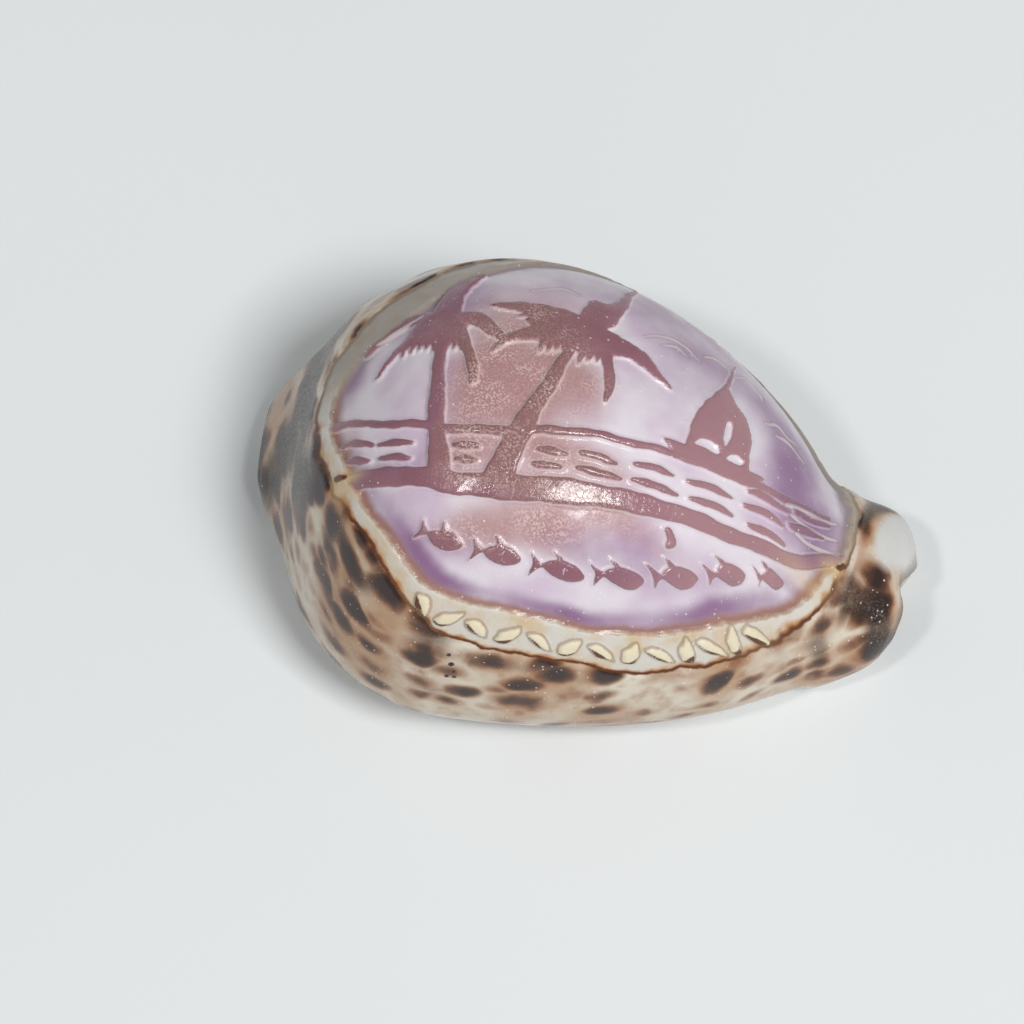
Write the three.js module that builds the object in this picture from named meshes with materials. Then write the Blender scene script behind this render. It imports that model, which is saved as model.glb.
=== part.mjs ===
// A tiger cowrie shell: one hollow piece of shell, domed above and flat below, with the narrow toothed
// mouth of a cowrie along its whole underside and a short canal at each end of that mouth.
// Millimetres, +Z up. +X points to the narrow front end, -Y to the outer lip, +Y to the inner lip.
// The origin is under the middle of the shell, on the surface that it rests on.
import * as THREE from 'three';

const LENGTH = 90;
const HALF = LENGTH / 2;

// The dome, seen from its longest cross-section: its size there, how far it reaches back and front of it,
// and how full the curve is on each side.
const DOME = {
  outer: { size: 32.3, at: -15.8, back: 27.4, front: 52.4, backFull: 1.65, frontFull: 1.68 },
  inner: { size: 34.6, at: -8, back: 35.2, front: 42.2, backFull: 2.2, frontFull: 1.78 },
  top: { size: 49, at: -8, back: 34.2, front: 46, backFull: 2.6, frontFull: 1.7 },
};
// The thickened rim round the base, which alone is left past the ends of the dome. In front it rounds off
// over its reach from its start, and on the inner side it flares out again just before the end.
const RIM = {
  outer: { back: 9.5, front: 13.1, start: 32.4, reach: 14.8, flare: 0, soft: 4 },
  inner: { back: 31, front: 15.3, start: 38.6, reach: 7.8, flare: 2.3, soft: 3.5 },
  top: { back: 14.5, front: 17, start: 35.4, reach: 13, flare: 0, soft: 4.5 },
};
const RIM_BACK = { start: -27, reach: 20.2 };
const FLARE = { at: 43, spread: 3 };

const WAIST = 0.34; // height of the widest line of a cross-section, as a share of the section
const ROUND_TOP = 2.15;
const ROUND_BASE = 2.8;
const LIFT = 2; // how far the base rises at the two ends
const FLAT = 0.55; // how much of the lowest bulge is worn to a flat

// Seen from above, each end is a rounded lobe: where its shaping starts, the line across the shell on
// which it reaches furthest, and how wide it is to either side.
const FRONT_LOBE = { from: 30, in: 0.3, at: 2.3, outer: 6.7, inner: 14.8 };
const BACK_LOBE = { from: -26, out: 4, at: 17, outer: 28, inner: 2.8, most: 2 };
const FRONT_NOTCH = { depth: 1.6, spread: 0.09 };
const CORNER = { depth: 2.6, reach: 7 };

// Half the thickness of the wall, measured each way from its middle surface.
const WALL = { side: 2.8, top: 1.3, base: 3, end: 1.8 };
const ENDS = { from: 34, to: 42 }; // where the wall changes over to its thickness at the ends

const SLIT = { middle: 0.5, swing: 5, half: 2.6, flare: 0.8 };
const TEETH = 22;
const TOOTH = { depth: 0.55, relief: 0.8, reach: 6 };

const LIP_ROUND = 3; // radius of the rounded lips, equal to the half wall there
const END_ROUND = 1.8;
const ROUND_STEPS = 3;
const STATIONS = TEETH * 2; // every tooth has a crest station and a valley station
const GIRTH_STEPS = 30;
const GIRTH_PACK = 0.06; // draws the steps together on the base, where the lips and the rim curve most
const FINE_STEPS = 240;
const EVEN_ROUNDS = 4;

const clamp = (value, low, high) => Math.min(Math.max(value, low), high);

function ease(from, to, value) {
  const t = clamp((value - from) / (to - from), 0, 1);
  return t * t * (3 - 2 * t);
}

function mix(a, b, share) {
  return a + (b - a) * share;
}

// The larger of two values, with a fillet of the given width where they meet.
function fillet(a, b, width) {
  const t = clamp(0.5 + (0.5 * (a - b)) / width, 0, 1);
  return mix(b, a, t) + width * t * (1 - t);
}

function dome(x, { size, at, back, front, backFull, frontFull }) {
  const share = Math.abs(x - at) / (x < at ? back : front);
  const full = x < at ? backFull : frontFull;
  return size * Math.sqrt(1 - Math.min(share, 1) ** full);
}

function rim(x, { back, front, start, reach, flare }, least) {
  const behind = Math.sqrt(1 - clamp((RIM_BACK.start - x) / RIM_BACK.reach, 0, 0.97) ** 2);
  const ahead = Math.sqrt(1 - clamp((x - start) / reach, 0, 0.97) ** 2);
  const flared = front + flare * Math.exp(-(((x - FLARE.at) / FLARE.spread) ** 2));
  return mix(back * mix(least, 1, behind), flared * mix(least, 1, ahead), ease(-10, 10, x));
}

// 1 on the crest of a tooth and 0 in the groove between two, fading to smooth lips at the canals.
function tooth(x) {
  const pitch = (LENGTH - 2 * END_ROUND) / TEETH;
  const wave = 0.5 + 0.5 * Math.cos((2 * Math.PI * x) / pitch);
  return mix(1, wave, ease(42, 37, Math.abs(x)));
}

function halfWall(x, z) {
  const side = mix(WALL.side, WALL.top, ease(8, 30, z));
  const low = mix(side, WALL.base, ease(8, 3, z));
  return mix(low, WALL.end, ease(ENDS.from, ENDS.to, Math.abs(x)));
}

// The middle of the wall at one station: a line from the outer lip over the top to the inner lip.
function wallLine(x) {
  const ends = ease(ENDS.from, ENDS.to, Math.abs(x));
  const sideWall = mix(WALL.side, WALL.end, ends);
  const outer = fillet(dome(x, DOME.outer), rim(x, RIM.outer, 0), RIM.outer.soft) - sideWall;
  const inner = fillet(dome(x, DOME.inner), rim(x, RIM.inner, 0), RIM.inner.soft) - sideWall;
  const crown = fillet(dome(x, DOME.top), rim(x, RIM.top, 0.45), RIM.top.soft);
  const bottom = LIFT * Math.abs(x / HALF) ** 6;
  const waist = mix(bottom, crown, WAIST);
  const above = crown - mix(WALL.top, WALL.end, ends) - waist;
  const below = waist - bottom - mix(WALL.base, WALL.end, ends);

  const middle = SLIT.middle + SLIT.swing * clamp(-x / HALF - 0.5, 0, 1) ** 2;
  const flare = SLIT.flare * clamp(x / HALF, 0, 1) ** 2;
  const half = SLIT.half + flare;
  const roundBase = mix(ROUND_BASE, 2.1, ends);
  const start = -Math.acos(((half - middle) / outer) ** (roundBase / 2));
  const finish = Math.PI + Math.acos(((half + middle) / inner) ** (roundBase / 2));

  const fine = [];
  let run = 0;
  for (let i = 0; i <= FINE_STEPS; i += 1) {
    const angle = mix(start, finish, i / FINE_STEPS);
    const round = Math.sin(angle) > 0 ? ROUND_TOP : roundBase;
    const across = Math.abs(Math.cos(angle)) ** (2 / round);
    const up = Math.abs(Math.sin(angle)) ** (2 / round);
    const y = Math.cos(angle) > 0 ? -outer * across : inner * across;
    const z = Math.sin(angle) > 0 ? waist + above * up : waist - below * up;
    if (i > 0) {
      run += Math.hypot(y - fine[i - 1].y, z - fine[i - 1].z);
    }
    fine.push({ y, z, run });
  }

  const marks = spaced(run, LIP_ROUND, GIRTH_STEPS, GIRTH_PACK);
  const notch = TOOTH.depth * (1 - tooth(x));
  let next = 1;
  return marks.map((mark) => {
    const toLip = Math.min(mark, run - mark);
    const along = mark + Math.sign(run / 2 - mark) * notch * ease(TOOTH.reach, 0, toLip);
    while (next < FINE_STEPS && fine[next].run < along) {
      next += 1;
    }
    const [from, to] = [fine[next - 1], fine[next]];
    const share = (along - from.run) / (to.run - from.run);
    return { x, y: mix(from.y, to.y, share), z: mix(from.z, to.z, share), along: mark, run };
  });
}

// Distances from 0 to a length, close together where both ends are rounded over.
function spaced(length, round, steps, pack) {
  const turn = (i) => round * (1 - Math.cos((Math.PI / 2) * (i / ROUND_STEPS)));
  const marks = [];
  for (let i = 0; i < ROUND_STEPS; i += 1) {
    marks.push(turn(i));
  }
  for (let i = 0; i <= steps; i += 1) {
    const share = i / steps;
    marks.push(mix(round, length - round, share - pack * Math.sin(2 * Math.PI * share)));
  }
  for (let i = ROUND_STEPS - 1; i >= 0; i -= 1) {
    marks.push(length - turn(i));
  }
  return marks;
}

// Half of a round edge: nothing at the very edge, and the full wall one radius in from it.
function roundOver(distance, radius) {
  return Math.sqrt(1 - clamp(1 - distance / radius, 0, 1) ** 2);
}

// How far a point lies from the tip of a lobe, as a share of the lobe's width on that side, squared.
function offTip(y, { at, outer, inner }) {
  return ((y - at) / (y < at ? outer : inner)) ** 2;
}

// Rounds the two ends off into lobes. A shallow notch parts the front one on top, and the corners where
// the lips end are drawn in.
function shiftEnds(point) {
  const share = point.along / point.run;
  const toLip = Math.min(point.along, point.run - point.along);
  const corner = CORNER.depth * clamp(1 - toLip / CORNER.reach, 0, 1) ** 2;
  const notch = FRONT_NOTCH.depth * Math.exp(-(((share - 0.5) / FRONT_NOTCH.spread) ** 2));
  const drawnIn = FRONT_LOBE.in + offTip(point.y, FRONT_LOBE) + notch + corner;
  const front = ease(FRONT_LOBE.from, HALF, point.x) * drawnIn;
  const lobe = Math.min(offTip(point.y, BACK_LOBE), BACK_LOBE.most);
  const back = ease(BACK_LOBE.from, -HALF, point.x) * (BACK_LOBE.out * (1 - lobe) - corner);
  return new THREE.Vector3(point.x - front - back, point.y, point.z);
}

// Square to the wall, but turning to lie in the cross-section near the canals, where the wall bends
// more tightly than it is thick.
function wallNormal(middle, i, j) {
  const before = middle[Math.max(i - 1, 0)][j];
  const after = middle[Math.min(i + 1, middle.length - 1)][j];
  const left = middle[i][Math.max(j - 1, 0)];
  const right = middle[i][Math.min(j + 1, middle[i].length - 1)];
  const alongShell = after.clone().sub(before);
  const normal = alongShell.cross(right.clone().sub(left)).normalize();
  normal.x *= ease(41, 34, Math.abs(middle[i][j].x));
  return normal.normalize();
}

// Both faces of the wall, moved out and in from its middle and meeting at the rounded edges.
function shellSurfaces() {
  const lines = spaced(LENGTH, END_ROUND, STATIONS, 0).map((mark) => wallLine(mark - HALF));
  const middle = lines.map((line) => line.map(shiftEnds));
  return lines.map((line, i) => line.map((point, j) => {
    const toLip = Math.min(point.along, point.run - point.along);
    const toEnd = HALF - Math.abs(point.x);
    const groove = TOOTH.relief * (1 - tooth(point.x)) * ease(TOOTH.reach, TOOTH.reach / 2, toLip);
    const wall = (halfWall(point.x, middle[i][j].z) - groove)
      * roundOver(toLip, LIP_ROUND) * roundOver(toEnd, END_ROUND);
    const normal = wallNormal(middle, i, j);
    const outside = middle[i][j].clone().addScaledVector(normal, wall);
    const inside = middle[i][j].clone().addScaledVector(normal, -wall);
    return { outside, inside, loose: ease(34, 40, Math.abs(point.x)) };
  }));
}

// Near the canals both faces of the wall bend tightly, so their points are drawn towards the middle of
// their neighbours. The rounded edges, where the two faces meet, stay as they are.
function evenOut(surfaces) {
  const drawn = (i, j, face) => {
    const point = surfaces[i][j][face];
    const between = new THREE.Vector3();
    [surfaces[i - 1][j], surfaces[i + 1][j], surfaces[i][j - 1], surfaces[i][j + 1]].forEach((near) => {
      between.addScaledVector(near[face], 0.25);
    });
    return point.clone().lerp(between, 0.7 * surfaces[i][j].loose);
  };
  return surfaces.map((line, i) => line.map((point, j) => {
    const edge = i === 0 || j === 0 || i === surfaces.length - 1 || j === line.length - 1;
    return edge ? point : { ...point, outside: drawn(i, j, 'outside'), inside: drawn(i, j, 'inside') };
  }));
}

function shellGeometry() {
  let surfaces = shellSurfaces();
  for (let round = 0; round < EVEN_ROUNDS; round += 1) {
    surfaces = evenOut(surfaces);
  }
  const [rows, columns] = [surfaces.length, surfaces[0].length];
  const positions = [];
  const outsideIndex = [];
  const insideIndex = [];
  surfaces.forEach((line, i) => line.forEach(({ outside, inside }, j) => {
    const edge = i === 0 || j === 0 || i === rows - 1 || j === columns - 1;
    outsideIndex.push(positions.length / 3);
    positions.push(outside.x, outside.y, Math.max(outside.z - FLAT, 0));
    insideIndex.push(edge ? outsideIndex.at(-1) : positions.length / 3);
    if (!edge) {
      positions.push(inside.x, inside.y, Math.max(inside.z - FLAT, 0));
    }
  }));

  const triangles = [];
  for (let i = 0; i < rows - 1; i += 1) {
    for (let j = 0; j < columns - 1; j += 1) {
      const corners = [i * columns + j, i * columns + j + 1, (i + 1) * columns + j + 1, (i + 1) * columns + j];
      const [a, b, c, d] = corners.map((corner) => outsideIndex[corner]);
      const [e, f, g, h] = corners.map((corner) => insideIndex[corner]);
      triangles.push(a, d, c, a, c, b);
      triangles.push(e, g, h, e, f, g);
    }
  }

  const geometry = new THREE.BufferGeometry();
  geometry.setAttribute('position', new THREE.Float32BufferAttribute(positions, 3));
  geometry.setIndex(triangles);
  geometry.computeBoundingBox();
  const { min, max } = geometry.boundingBox;
  geometry.translate(-(min.x + max.x) / 2, -(min.y + max.y) / 2, -min.z);
  geometry.computeVertexNormals();
  return geometry;
}

const enamel = new THREE.MeshStandardMaterial({ color: 0xcbb9ae, roughness: 0.25, metalness: 0 });
const shell = new THREE.Mesh(shellGeometry(), enamel);
shell.name = 'cowrie_shell';

const group = new THREE.Group();
group.add(shell);
export default group;
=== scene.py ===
import math

import bpy
import numpy as np
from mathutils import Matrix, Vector


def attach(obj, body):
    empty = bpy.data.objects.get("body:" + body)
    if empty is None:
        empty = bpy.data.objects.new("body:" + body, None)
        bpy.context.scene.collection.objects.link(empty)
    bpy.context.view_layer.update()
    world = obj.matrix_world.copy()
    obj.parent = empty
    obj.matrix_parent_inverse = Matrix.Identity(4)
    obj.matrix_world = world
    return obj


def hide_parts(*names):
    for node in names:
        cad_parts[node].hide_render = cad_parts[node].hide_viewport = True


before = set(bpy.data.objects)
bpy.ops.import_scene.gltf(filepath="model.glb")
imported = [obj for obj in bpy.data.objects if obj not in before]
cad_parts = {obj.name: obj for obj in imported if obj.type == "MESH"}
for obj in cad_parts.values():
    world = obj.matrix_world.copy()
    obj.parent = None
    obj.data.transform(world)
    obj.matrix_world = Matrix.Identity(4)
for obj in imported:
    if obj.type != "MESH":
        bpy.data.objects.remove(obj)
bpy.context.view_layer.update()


# ---- The wall of the shell ----
# A cowrie's last whorl wraps right round the others, so the shell is one hollow egg of enamelled lime,
# thin over the back and thick at the lips. Its wall follows a rule from the long axis outwards: here the
# middle of the wall is laid out station by station, and its two faces are moved out and in from that.

MM = 0.001
LENGTH = 90.0
HALF = LENGTH / 2
# A dome: its greatest size, where that lies, how far it runs back and forward, and how full it is there.
DOME = {
    "outer": (32.3, -15.8, 27.4, 52.4, 1.65, 1.68),
    "inner": (34.6, -8, 35.2, 42.2, 2.2, 1.78),
    "top": (49, -8, 34.2, 46, 2.6, 1.7),
}
# A rim: its size at the back and the front, where the front turns in and over what reach, the flare of
# the spout, the least share left at the very end, and the width of its blend into the dome.
RIM = {
    "outer": (9.5, 13.1, 32.4, 14.8, 0, 0, 4),
    "inner": (31, 15.3, 38.6, 7.8, 2.3, 0, 3.5),
    "top": (14.5, 17, 35.4, 13, 0, 0.45, 4.5),
}
RIM_BACK_START, RIM_BACK_REACH = -27, 20.2
FLARE_AT, FLARE_WIDTH = 43, 3
# Half the thickness of the wall, and the stretch over which it takes on that of the two narrow ends.
WALL = {"side": 2.8, "top": 1.3, "base": 3.0, "end": 1.8}
ENDS = (34, 42)
# The section is widest at the waist. Above and below it is a rounded square, 2 being a true ellipse.
WAIST_SHARE = 0.34
BACK_ROUND = 2.15
BASE_ROUND, END_BASE_ROUND = 2.8, 2.1
END_LIFT = 2
SLIT_HALF, SLIT_FRONT_GAIN = 2.6, 0.8
SLIT_MIDDLE, SLIT_BACK_BEND = 0.5, 5
LIP_ROUND = 3.0
END_ROUND = 1.8
TEETH = 22
ROUND_STEPS = 30
# How the front and back edges run: the middle and two half widths of each lobe, and what is cut away.
FRONT_LOBE = (2.3, 6.7, 14.8)
BACK_LOBE = (17, 28, 2.8)
FRONT_DRAW, BACK_DEPTH = 0.3, 4
NOTCH_DEPTH, NOTCH_WIDTH = 1.6, 0.09
CORNER_CUT, CORNER_REACH = 2.6, 7
# How much of the underside is flattened where the shell rests.
FLAT = 0.55


def clamp(value):
    return np.clip(value, 0.0, 1.0)


def ease(start, end, value):
    """A smooth step from 0 to 1, as the value goes from start to end."""
    t = clamp((value - start) / (end - start))
    return t * t * (3 - 2 * t)


def mix(a, b, share):
    return a + (b - a) * share


def fillet(a, b, width):
    """The larger of two values, with the corner between them filled in."""
    t = clamp(0.5 + 0.5 * (a - b) / width)
    return mix(b, a, t) + width * t * (1 - t)


def dome_and_rim(x, name):
    """How far the shell reaches at a station: the dome, and the rim that stands out past it at the ends."""
    size, at, back, front, back_full, front_full = DOME[name]
    share = np.minimum(np.abs(x - at) / np.where(x < at, back, front), 1)
    dome = size * np.sqrt(1 - share ** np.where(x < at, back_full, front_full))
    rim_back, rim_front, start, reach, flare, least, soft = RIM[name]
    behind = np.sqrt(1 - np.clip((RIM_BACK_START - x) / RIM_BACK_REACH, 0, 0.97) ** 2)
    ahead = np.sqrt(1 - np.clip((x - start) / reach, 0, 0.97) ** 2)
    rim_front = rim_front + flare * np.exp(-((x - FLARE_AT) / FLARE_WIDTH) ** 2)
    rim = mix(rim_back * mix(least, 1, behind), rim_front * mix(least, 1, ahead), ease(-10, 10, x))
    return fillet(dome, rim, soft)


def spaced(length, radius, steps, pack=0.0):
    """Marks along a length, close round its rolled ends, and packed towards them as much as asked."""
    turn = radius * (1 - np.cos(math.pi / 2 * np.arange(3) / 3))
    share = np.linspace(0, 1, steps + 1)
    middle = mix(radius, length - radius, share - pack * np.sin(2 * math.pi * share))
    return np.concatenate([turn, middle, length - turn[::-1]])


def wall_line(x):
    """Points of the wall's middle at one station, from the outer lip over the back to the inner lip."""
    ends = ease(*ENDS, abs(x))
    side = mix(WALL["side"], WALL["end"], ends)
    outer = dome_and_rim(x, "outer") - side
    inner = dome_and_rim(x, "inner") - side
    crown = dome_and_rim(x, "top")
    bottom = END_LIFT * abs(x / HALF) ** 6
    waist = mix(bottom, crown, WAIST_SHARE)
    above = crown - mix(WALL["top"], WALL["end"], ends) - waist
    below = waist - bottom - mix(WALL["base"], WALL["end"], ends)

    slit_middle = SLIT_MIDDLE + SLIT_BACK_BEND * clamp(-x / HALF - 0.5) ** 2
    slit_half = SLIT_HALF + SLIT_FRONT_GAIN * clamp(x / HALF) ** 2
    round_base = mix(BASE_ROUND, END_BASE_ROUND, ends)
    start = -math.acos(((slit_half - slit_middle) / outer) ** (round_base / 2))
    finish = math.pi + math.acos(((slit_half + slit_middle) / inner) ** (round_base / 2))
    angle = np.linspace(start, finish, 241)
    power = 2 / np.where(np.sin(angle) > 0, BACK_ROUND, round_base)
    across = np.abs(np.cos(angle)) ** power
    up = np.abs(np.sin(angle)) ** power
    y = np.where(np.cos(angle) > 0, -outer, inner) * across
    z = waist + np.where(np.sin(angle) > 0, above, -below) * up
    run = np.concatenate([[0], np.cumsum(np.hypot(np.diff(y), np.diff(z)))])
    marks = spaced(run[-1], LIP_ROUND, ROUND_STEPS, 0.06)
    return np.stack([np.full(len(marks), x), np.interp(marks, run, y), np.interp(marks, run, z),
                     marks, np.full(len(marks), run[-1])], axis=-1)


def round_over(distance, radius):
    """The share of the wall's thickness left near an edge that is rolled over."""
    return np.sqrt(1 - clamp(1 - distance / radius) ** 2)


def wall_faces():
    """The outside and inside of the wall as coarse grids, with each point's place on the unrolled sheet."""
    lines = np.array([wall_line(mark - HALF) for mark in spaced(LENGTH, END_ROUND, 2 * TEETH)])
    x, along, run = lines[..., 0], lines[..., 3], lines[..., 4]
    share, y = along / run, lines[..., 1]
    to_lip = np.minimum(along, run - along)
    corner = CORNER_CUT * clamp(1 - to_lip / CORNER_REACH) ** 2
    notch = NOTCH_DEPTH * np.exp(-((share - 0.5) / NOTCH_WIDTH) ** 2)
    at, outer_side, inner_side = FRONT_LOBE
    front_lobe = ((y - at) / np.where(y < at, outer_side, inner_side)) ** 2
    front = ease(30, HALF, x) * (FRONT_DRAW + front_lobe + notch + corner)
    at, outer_side, inner_side = BACK_LOBE
    back_lobe = np.minimum(((y - at) / np.where(y < at, outer_side, inner_side)) ** 2, 2)
    back = ease(-26, -HALF, x) * (BACK_DEPTH - BACK_DEPTH * back_lobe - corner)
    middle = lines[..., :3].copy()
    middle[..., 0] -= front + back

    down_shell = np.gradient(middle, axis=0)
    round_shell = np.gradient(middle, axis=1)
    normal = np.cross(down_shell, round_shell)
    normal /= np.linalg.norm(normal, axis=2, keepdims=True)
    # At the two ends the wall is thickened across the shell only, so the ends keep their length.
    normal[..., 0] *= ease(41, 34, np.abs(middle[..., 0]))
    normal /= np.linalg.norm(normal, axis=2, keepdims=True)

    z = middle[..., 2]
    half_wall = mix(WALL["side"], WALL["top"], ease(8, 30, z))
    half_wall = mix(half_wall, WALL["base"], ease(8, 3, z))
    half_wall = mix(half_wall, WALL["end"], ease(*ENDS, np.abs(x)))
    half_wall *= round_over(to_lip, LIP_ROUND) * round_over(HALF - np.abs(x), END_ROUND)
    # Both faces are smoothed towards the ends, where the lobes crowd the points.
    loose = 0.7 * ease(34, 40, np.abs(x))[1:-1, 1:-1, None]
    faces = []
    for side in (1, -1):
        face = middle + normal * (side * half_wall)[..., None]
        for _ in range(4):
            near = (face[:-2, 1:-1] + face[2:, 1:-1] + face[1:-1, :-2] + face[1:-1, 2:]) / 4
            face[1:-1, 1:-1] = mix(face[1:-1, 1:-1], near, loose)
        faces.append(face)
    # Behind this the lines of the sheet swing a little towards the outer lip.
    bend = 0.08 * np.maximum(-20 - x, 0) ** 1.5
    sheet = np.stack([x, (share - 0.5) * run + bend, to_lip], axis=-1)
    return faces[0], faces[1], sheet


# ---- The carved picture ----
# The back is cut like a cameo, through the spotted enamel to a cream terrace and inside that to white and
# lilac, leaving two palms, a boat and the sea standing in mauve. It is laid out in millimetres on the
# unrolled back: the first number runs forward, and the second round it from the outer lip's side.

CUT_EDGE = [
    (-36.4, -0.8), (-35, -6.6), (-32.5, -12.8), (-28.8, -18), (-24.2, -23.4), (-20.4, -29.2), (-15.8, -34),
    (-11.2, -36.6), (-5, -37.9), (2, -37.3), (9.4, -36), (14.6, -33), (18.8, -29), (22.4, -25), (25.8, -20),
    (29, -14.4), (32, -8.6), (33.8, -4), (34.9, 0.2), (34.8, 5), (33.4, 10.4), (30.8, 17.4), (26.8, 25.2),
    (20.8, 32.4), (12.8, 38), (3, 41), (-6, 40.2), (-14.2, 36), (-21.6, 29), (-27.4, 21), (-31.8, 13.8),
    (-35, 7.6), (-36.6, 2.6)]
PICTURE_EDGE = [
    (-33.9, -4.4), (-32, -8.8), (-29.7, -13.3), (-26.8, -17.2), (-22.9, -21.6), (-19.7, -25.3),
    (-15.7, -28.8), (-9.2, -30.8), (-2, -31.2), (4.5, -31.1), (9.8, -29.1), (14.8, -26.2), (18.8, -22.6),
    (22.9, -18.3), (26.2, -14.7), (29.4, -9.8), (32.4, -3.8), (33.8, 0.4), (33.6, 4.6), (32.2, 10.2),
    (29.6, 16.8), (25.4, 24), (19.6, 30.6), (12, 35.4), (3, 37.8), (-5.6, 36.6), (-12.2, 31), (-18.4, 24.6),
    (-22.8, 18.8), (-26, 14.2), (-29, 10), (-31.8, 6.6), (-33.6, 3.2), (-34.2, -0.4)]


def curved(points, closed=True, steps=5):
    """A smooth line through a few points."""
    p = np.array(points, float)
    ends = [p[-1:], p, p[:2]] if closed else [2 * p[:1] - p[1:2], p, 2 * p[-1:] - p[-2:-1]]
    q = np.concatenate(ends)
    share = np.arange(steps)[:, None] / steps
    parts = []
    for a, b, c, d in zip(q[:-3], q[1:-2], q[2:-1], q[3:]):
        parts.append(0.5 * (2 * b + (c - a) * share + (2 * a - 5 * b + 4 * c - d) * share ** 2
                            + (3 * b - a - 3 * c + d) * share ** 3))
    line = np.concatenate(parts)
    return line if closed else np.concatenate([line, p[-1:]])


def along_line(places, line, half_widths):
    """How far inside a brush stroke each place is, in millimetres; negative outside it."""
    widths = np.interp(np.linspace(0, 1, len(line)), np.linspace(0, 1, len(half_widths)), half_widths)
    inside = np.full(len(places), -99.0)
    for a, b, wide_a, wide_b in zip(line[:-1], line[1:], widths[:-1], widths[1:]):
        step = b - a
        share = clamp((places - a) @ step / max(step @ step, 1e-9))
        gap = np.linalg.norm(places - a - share[:, None] * step, axis=1)
        inside = np.maximum(inside, mix(wide_a, wide_b, share) - gap)
    return inside


def within(places, outline):
    """How far inside a closed outline each place is, in millimetres; negative outside it."""
    ring = np.concatenate([outline, outline[:1]])
    edge = -along_line(places, ring, [0, 0])
    odd = np.zeros(len(places), bool)
    for a, b in zip(ring[:-1], ring[1:]):
        spans = (a[1] > places[:, 1]) != (b[1] > places[:, 1])
        climb = b[1] - a[1] if b[1] != a[1] else 1e-9
        odd ^= spans & (places[:, 0] < a[0] + (places[:, 1] - a[1]) * (b[0] - a[0]) / climb)
    return np.where(odd, edge, -edge)


class Relief:
    """The parts of the picture left standing: how far inside one of them each place is."""

    def __init__(self, places):
        self.places = places
        self.inside = np.full(len(places), -3.0)

    def near(self, line, margin=3.0):
        low, high = line.min(axis=0) - margin, line.max(axis=0) + margin
        return np.all((self.places > low) & (self.places < high), axis=1)

    def stroke(self, points, half_widths, smooth=True):
        line = curved(points, closed=False) if smooth else np.array(points, float)
        near = self.near(line)
        self.inside[near] = np.maximum(self.inside[near], along_line(self.places[near], line, half_widths))

    def shape(self, points, smooth=True, hole=False):
        outline = curved(points, steps=4) if smooth else np.array(points, float)
        near = self.near(outline)
        depth = within(self.places[near], outline)
        joined = np.minimum(self.inside[near], -depth) if hole else np.maximum(self.inside[near], depth)
        self.inside[near] = joined

    def fringe(self, root, tip, fingers, length, lean):
        """The hanging leaflets under a palm frond."""
        for i in range(fingers):
            share = (i + 0.5) / fingers
            top = mix(np.array(root, float), np.array(tip, float), share)
            drop = length * (0.75 + 0.35 * math.sin(7 * i + length))
            foot = top + (lean * drop * (share - 0.3), -drop)
            self.stroke([top, foot], [0.5, 0.4, 0.14], smooth=False)


def left_palm(relief):
    relief.stroke([(-17.8, -13.5), (-19.4, -8), (-20.9, -2), (-21.9, 4), (-22.4, 8)],
                  [1.45, 1.15, 0.95, 0.75, 0.8])
    relief.shape([(-26, 10.4), (-23.7, 11.9), (-20.7, 11.5), (-19.3, 9), (-20.4, 7), (-22.8, 6.2),
                  (-25.9, 6.3), (-27.2, 8)])
    relief.stroke([(-22.8, 10.5), (-26.6, 11), (-29.6, 9), (-31.8, 6)], [1.1, 0.95, 0.7, 0.15])
    relief.stroke([(-25.1, 9), (-28, 5.4), (-29.6, 1.6)], [1.1, 0.5, 0.15])
    relief.stroke([(-22, 10.6), (-18.6, 10.5), (-15.9, 8.7), (-13.8, 6.8)], [1.3, 1.2, 0.85, 0.3])
    relief.stroke([(-20.2, 8), (-18.3, 4.6), (-17.1, 2), (-16.6, 0.2)], [1.0, 0.7, 0.6, 0.45])
    relief.stroke([(-23, 11.4), (-23, 14), (-22.4, 17), (-21.2, 19.6), (-19.8, 21.8)],
                  [2.0, 1.7, 1.4, 0.8, 0.3])
    relief.fringe((-27.4, 6.8), (-22.7, 6.5), 5, 3.0, 0.25)
    relief.fringe((-21.8, 7), (-18.4, 5.8), 4, 3.0, 0.2)


def right_palm(relief):
    relief.stroke([(-10.4, -13.5), (-9.3, -8), (-7.9, -3), (-6.6, 1.5), (-5.5, 6)],
                  [2.1, 1.6, 1.2, 0.9, 0.7])
    relief.shape([(-7.4, 12.2), (-4.6, 13.2), (-1.4, 11.4), (0.2, 8.6), (-1.4, 6.8), (-4.4, 6.2),
                  (-7.6, 7.2), (-9.2, 9.4)])
    relief.shape([(-4.8, 12.6), (-8.6, 13.9), (-12.4, 14.5), (-15.3, 14.2), (-17.2, 13.3), (-14, 12.7),
                  (-12.6, 12.3), (-13.4, 11.6), (-11.8, 11.5), (-12.2, 10.8), (-9.6, 9.4)])
    relief.stroke([(-8, 8.7), (-11, 8.3), (-13.4, 7.2), (-15.2, 5.1)], [1.2, 1.15, 0.7, 0.15])
    relief.shape([(-2.4, 11.5), (2.5, 10.5), (5.7, 8.4), (8.5, 5.8), (4.8, 6.9), (2, 7.8), (-0.8, 7.8)])
    relief.stroke([(-1.2, 8), (0, 5), (0.8, 2.4), (0.8, 0.2)], [1.0, 0.65, 0.6, 0.3])
    relief.shape([(-5.5, 12.6), (-5.2, 16), (-4.2, 17.6), (-2.2, 17.9), (-1.4, 20.5), (-1, 23), (-0.5, 26),
                  (0, 26), (-0.1, 20), (-0.4, 15), (-1.8, 11.8)])
    relief.fringe((-9.6, 7.8), (-6, 7), 4, 2.2, 0.3)
    relief.fringe((-4.2, 6.6), (-0.6, 7.2), 4, 3.3, 0.2)


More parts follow.
